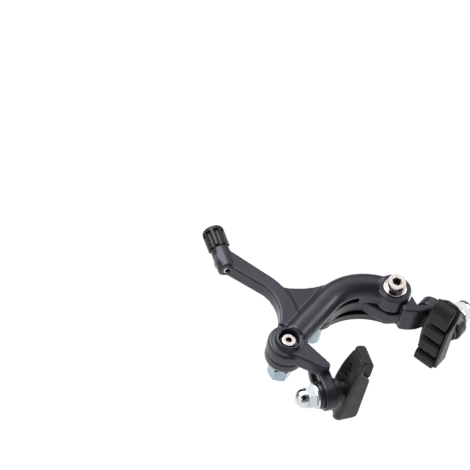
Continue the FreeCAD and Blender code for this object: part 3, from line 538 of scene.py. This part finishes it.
def moulded_rubber():
    """Moulded brake rubber: a dull black with a faint dusty bloom and a fine grain."""
    material, tree = blank_material("moulded_black_brake_rubber")
    place = add(tree, "ShaderNodeTexCoord").outputs["Object"]
    # The mould's grain is nearer 0.1 mm; it is drawn coarser so that it shows.
    grain_mm = 0.5
    bloom_mm = 6.0
    grain = add(tree, "ShaderNodeTexNoise", {"Vector": place, "Scale": 1 / (grain_mm * MM),
                                             "Detail": 3.0})
    bloom = add(tree, "ShaderNodeTexNoise", {"Vector": place, "Scale": 1 / (bloom_mm * MM),
                                             "Detail": 4.0})
    colour = add(tree, "ShaderNodeMix", {"Factor": bloom.outputs["Fac"], "A": linear("#08080a"),
                                         "B": linear("#101012")}, data_type="RGBA")
    groove_mm = 3.0
    open_sky = add(tree, "ShaderNodeAmbientOcclusion", {"Distance": groove_mm * MM}, samples=8)
    dulled = add(tree, "ShaderNodeMapRange", {"Value": open_sky.outputs["AO"], "From Min": 0.35,
                                              "From Max": 0.8, "To Min": 0.95, "To Max": 0.58})
    bump = add(tree, "ShaderNodeBump", {"Height": grain.outputs["Fac"], "Strength": 0.25,
                                        "Distance": 0.06 * MM})
    shader = add(tree, "ShaderNodeBsdfPrincipled", {
        "Base Color": colour.outputs["Result"], "Roughness": dulled.outputs["Result"], "IOR": 1.52,
        "Specular IOR Level": 0.3, "Normal": bump.outputs["Normal"]})
    add(tree, "ShaderNodeOutputMaterial", {"Surface": shader.outputs["BSDF"]})
    return material


def pad_shape(up):
    """The grooved pad: a plan with round-cornered blocks, drawn from the side wall to its free side."""
    toe, heel = BLOCKS_MM[0][0], BLOCKS_MM[-1][1]
    foot = RUBBER_BACK_MM + FOOT_MARGIN_MM
    quarter = [math.radians(18 * turn) for turn in range(6)]
    plan = [(RUBBER_BACK_MM, toe + FOOT_MARGIN_MM)]
    for start, end in BLOCKS_MM:
        corner_in = TOE_ROUND_MM if start == toe else BLOCK_ROUND_MM
        corner_out = HEEL_ROUND_MM if end == heel else BLOCK_ROUND_MM
        plan.append((foot if start == toe else GROOVE_FLOOR_MM, start))
        for angle in quarter:
            plan.append((RUBBER_FACE_MM - corner_in + corner_in * math.sin(angle),
                         start + corner_in - corner_in * math.cos(angle)))
        for angle in quarter:
            plan.append((RUBBER_FACE_MM - corner_out + corner_out * math.cos(angle),
                         end - corner_out + corner_out * math.sin(angle)))
        plan.append((foot if end == heel else GROOVE_FLOOR_MM, end))
    plan.append((RUBBER_BACK_MM, heel - FOOT_MARGIN_MM))
    shape = bmesh.new()
    floor = shape.faces.new([shape.verts.new((x, y, WALL_SIDE_MM * up)) for x, y in plan])
    drawn = bmesh.ops.extrude_face_region(shape, geom=[floor])
    top = [item for item in drawn["geom"] if isinstance(item, bmesh.types.BMVert)]
    bmesh.ops.translate(shape, verts=top, vec=(0, 0, (FREE_SIDE_MM - WALL_SIDE_MM) * up))
    return shape


rubber = moulded_rubber()
for side, body, post_mm, turn_deg, up in SHOE_SIDES:
    pad = new_piece(side + "_shoe_pad", pad_shape(up), shoe_place(post_mm, turn_deg), body, rubber)
    round_all_over(pad, RUBBER_GRAIN_MM, passes=14)


# The camera looks up at the front left of the caliper, which lies tipped back as on a table.
# Its axes were found from where the bolts, the nuts and the adjuster fall in the photograph.
PHOTO_PX = 470
PX_PER_MM = 2.08
ORIGIN_PX = (316.0, 322.9)
CAMERA_RANGE = 1.2
camera_right = Vector((0.778, -0.160, -0.608)).normalized()
camera_back = camera_right.cross(Vector((0.416, -0.594, 0.688))).normalized()
camera_up = camera_back.cross(camera_right)
frame_width = PHOTO_PX / PX_PER_MM * MM
centre_px = PHOTO_PX / 2
right_px = ORIGIN_PX[0] - centre_px
down_px = ORIGIN_PX[1] - centre_px
target = (camera_up * down_px - camera_right * right_px) * (MM / PX_PER_MM)
camera_data = bpy.data.cameras.new("photo_camera")
camera_data.sensor_width = 36.0
camera_data.lens = camera_data.sensor_width * CAMERA_RANGE / frame_width
camera_data.clip_end = 20.0
camera = bpy.data.objects.new("photo_camera", camera_data)
turn = Matrix((camera_right, camera_up, camera_back)).transposed()
camera.matrix_world = Matrix.Translation(target + camera_back * CAMERA_RANGE) @ turn.to_4x4()
bpy.context.scene.collection.objects.link(camera)
bpy.context.scene.camera = camera


# The stage is a white table that the caliper lies over, and a white room with soft lamps.
# The table shows from its upper side only, so that it never hides the part.
TABLE_SIZE = 6.0
TABLE_DROP = 95 * MM
TABLE_SEEN, TABLE_MIRRORED = 0.92, 0.6
ROOM_LIGHT, ROOM_SEEN, ROOM_MIRRORED = 0.14, 0.97, 0.1
table_up = (camera_back * 0.62 + camera_up * 0.78).normalized()
table_mesh = bpy.data.meshes.new("table")
half = TABLE_SIZE / 2
table_corners = [(-half, -half, 0), (half, -half, 0), (half, half, 0), (-half, half, 0)]
table_mesh.from_pydata(table_corners, [], [(0, 1, 2, 3)])
table = bpy.data.objects.new("table", table_mesh)
table_turn = table_up.to_track_quat("Z", "Y").to_matrix().to_4x4()
table.matrix_world = Matrix.Translation(table_up * -TABLE_DROP) @ table_turn
bpy.context.scene.collection.objects.link(table)


def white_table():
    """A white sweep of card: it is white to the eye and in reflections, and takes a faint shadow."""
    material, tree = blank_material("white_card_sweep")
    ray = add(tree, "ShaderNodeLightPath")
    mirrored = add(tree, "ShaderNodeMath", {0: ray.outputs["Is Glossy Ray"], 1: TABLE_MIRRORED},
                   operation="MULTIPLY")
    seen = add(tree, "ShaderNodeMath", {0: ray.outputs["Is Camera Ray"], 1: mirrored.outputs[0]},
               operation="MAXIMUM")
    card = add(tree, "ShaderNodeBsdfDiffuse", {"Color": linear("#f4f4f4")})
    glow = add(tree, "ShaderNodeEmission", {"Color": linear("#ffffff"), "Strength": 1.0})
    share = add(tree, "ShaderNodeMath", {0: seen.outputs[0], 1: TABLE_SEEN}, operation="MULTIPLY")
    lit = add(tree, "ShaderNodeMixShader", {0: share.outputs[0], 1: card.outputs[0],
                                            2: glow.outputs[0]})
    side = add(tree, "ShaderNodeNewGeometry")
    clear = add(tree, "ShaderNodeBsdfTransparent")
    shown = add(tree, "ShaderNodeMixShader", {0: side.outputs["Backfacing"], 1: lit.outputs[0],
                                              2: clear.outputs[0]})
    add(tree, "ShaderNodeOutputMaterial", {"Surface": shown.outputs[0]})
    return material


table_mesh.materials.append(white_table())

world = bpy.data.worlds.new("white_room")
world.use_nodes = True
world.node_tree.nodes.clear()
room = world.node_tree
eye = add(room, "ShaderNodeLightPath")
room_light = add(room, "ShaderNodeBackground", {"Color": linear("#ffffff"), "Strength": ROOM_LIGHT})
room_seen = add(room, "ShaderNodeBackground", {"Color": linear("#ffffff"), "Strength": ROOM_SEEN})
mirrored = add(room, "ShaderNodeMath", {0: eye.outputs["Is Glossy Ray"], 1: ROOM_MIRRORED},
               operation="MULTIPLY")
visible = add(room, "ShaderNodeMath", {0: eye.outputs["Is Camera Ray"], 1: mirrored.outputs[0]},
              operation="MAXIMUM")
room_mix = add(room, "ShaderNodeMixShader", {0: visible.outputs[0], 1: room_light.outputs[0],
                                             2: room_seen.outputs[0]})
add(room, "ShaderNodeOutputWorld", {"Surface": room_mix.outputs[0]})
bpy.context.scene.world = world


def softbox(name, right, up, back, size_m, watts):
    """A square soft lamp that stands on the camera's right, up and back axes, aimed at the caliper."""
    lamp_range = 0.7
    lamp = bpy.data.lights.new(name, "AREA")
    lamp.size = size_m
    lamp.energy = watts
    stand = bpy.data.objects.new(name, lamp)
    direction = (camera_right * right + camera_up * up + camera_back * back).normalized()
    aim = direction.to_track_quat("Z", "Y").to_matrix().to_4x4()
    stand.matrix_world = Matrix.Translation(direction * lamp_range) @ aim
    bpy.context.scene.collection.objects.link(stand)


softbox("key_softbox", right=-0.45, up=1.0, back=0.45, size_m=0.6, watts=7.0)
softbox("top_softbox", right=0.12, up=1.0, back=0.35, size_m=0.8, watts=2.2)
softbox("fill_softbox", right=-1.1, up=0.1, back=1.0, size_m=0.8, watts=2.2)
softbox("rim_softbox", right=1.0, up=0.5, back=0.1, size_m=0.35, watts=3.5)


# A black felt flag stands by the camera, as in a studio, so that bright metal mirrors something dark.
# Only reflections show it; it is unseen by the camera, and it throws no shadow.
FLAG_HALF = 0.3
FLAG_RANGE = 0.6
flag_mesh = bpy.data.meshes.new("black_flag")
flag_corners = [(-FLAG_HALF, -FLAG_HALF, 0), (FLAG_HALF, -FLAG_HALF, 0),
                (FLAG_HALF, FLAG_HALF, 0), (-FLAG_HALF, FLAG_HALF, 0)]
flag_mesh.from_pydata(flag_corners, [], [(0, 1, 2, 3)])
flag = bpy.data.objects.new("black_flag", flag_mesh)
flag_towards = (camera_back * 1.0 + camera_up * 0.15 - camera_right * 0.1).normalized()
flag_turn = flag_towards.to_track_quat("Z", "Y").to_matrix().to_4x4()
flag.matrix_world = Matrix.Translation(flag_towards * FLAG_RANGE) @ flag_turn
flag.visible_camera = False
flag.visible_shadow = False
flag.visible_diffuse = False
bpy.context.scene.collection.objects.link(flag)
felt, felt_tree = blank_material("black_wool_felt")
nap = add(felt_tree, "ShaderNodeBsdfDiffuse", {"Color": linear("#0a0a0a")})
add(felt_tree, "ShaderNodeOutputMaterial", {"Surface": nap.outputs[0]})
flag_mesh.materials.append(felt)

bpy.context.scene.view_settings.view_transform = "Standard"
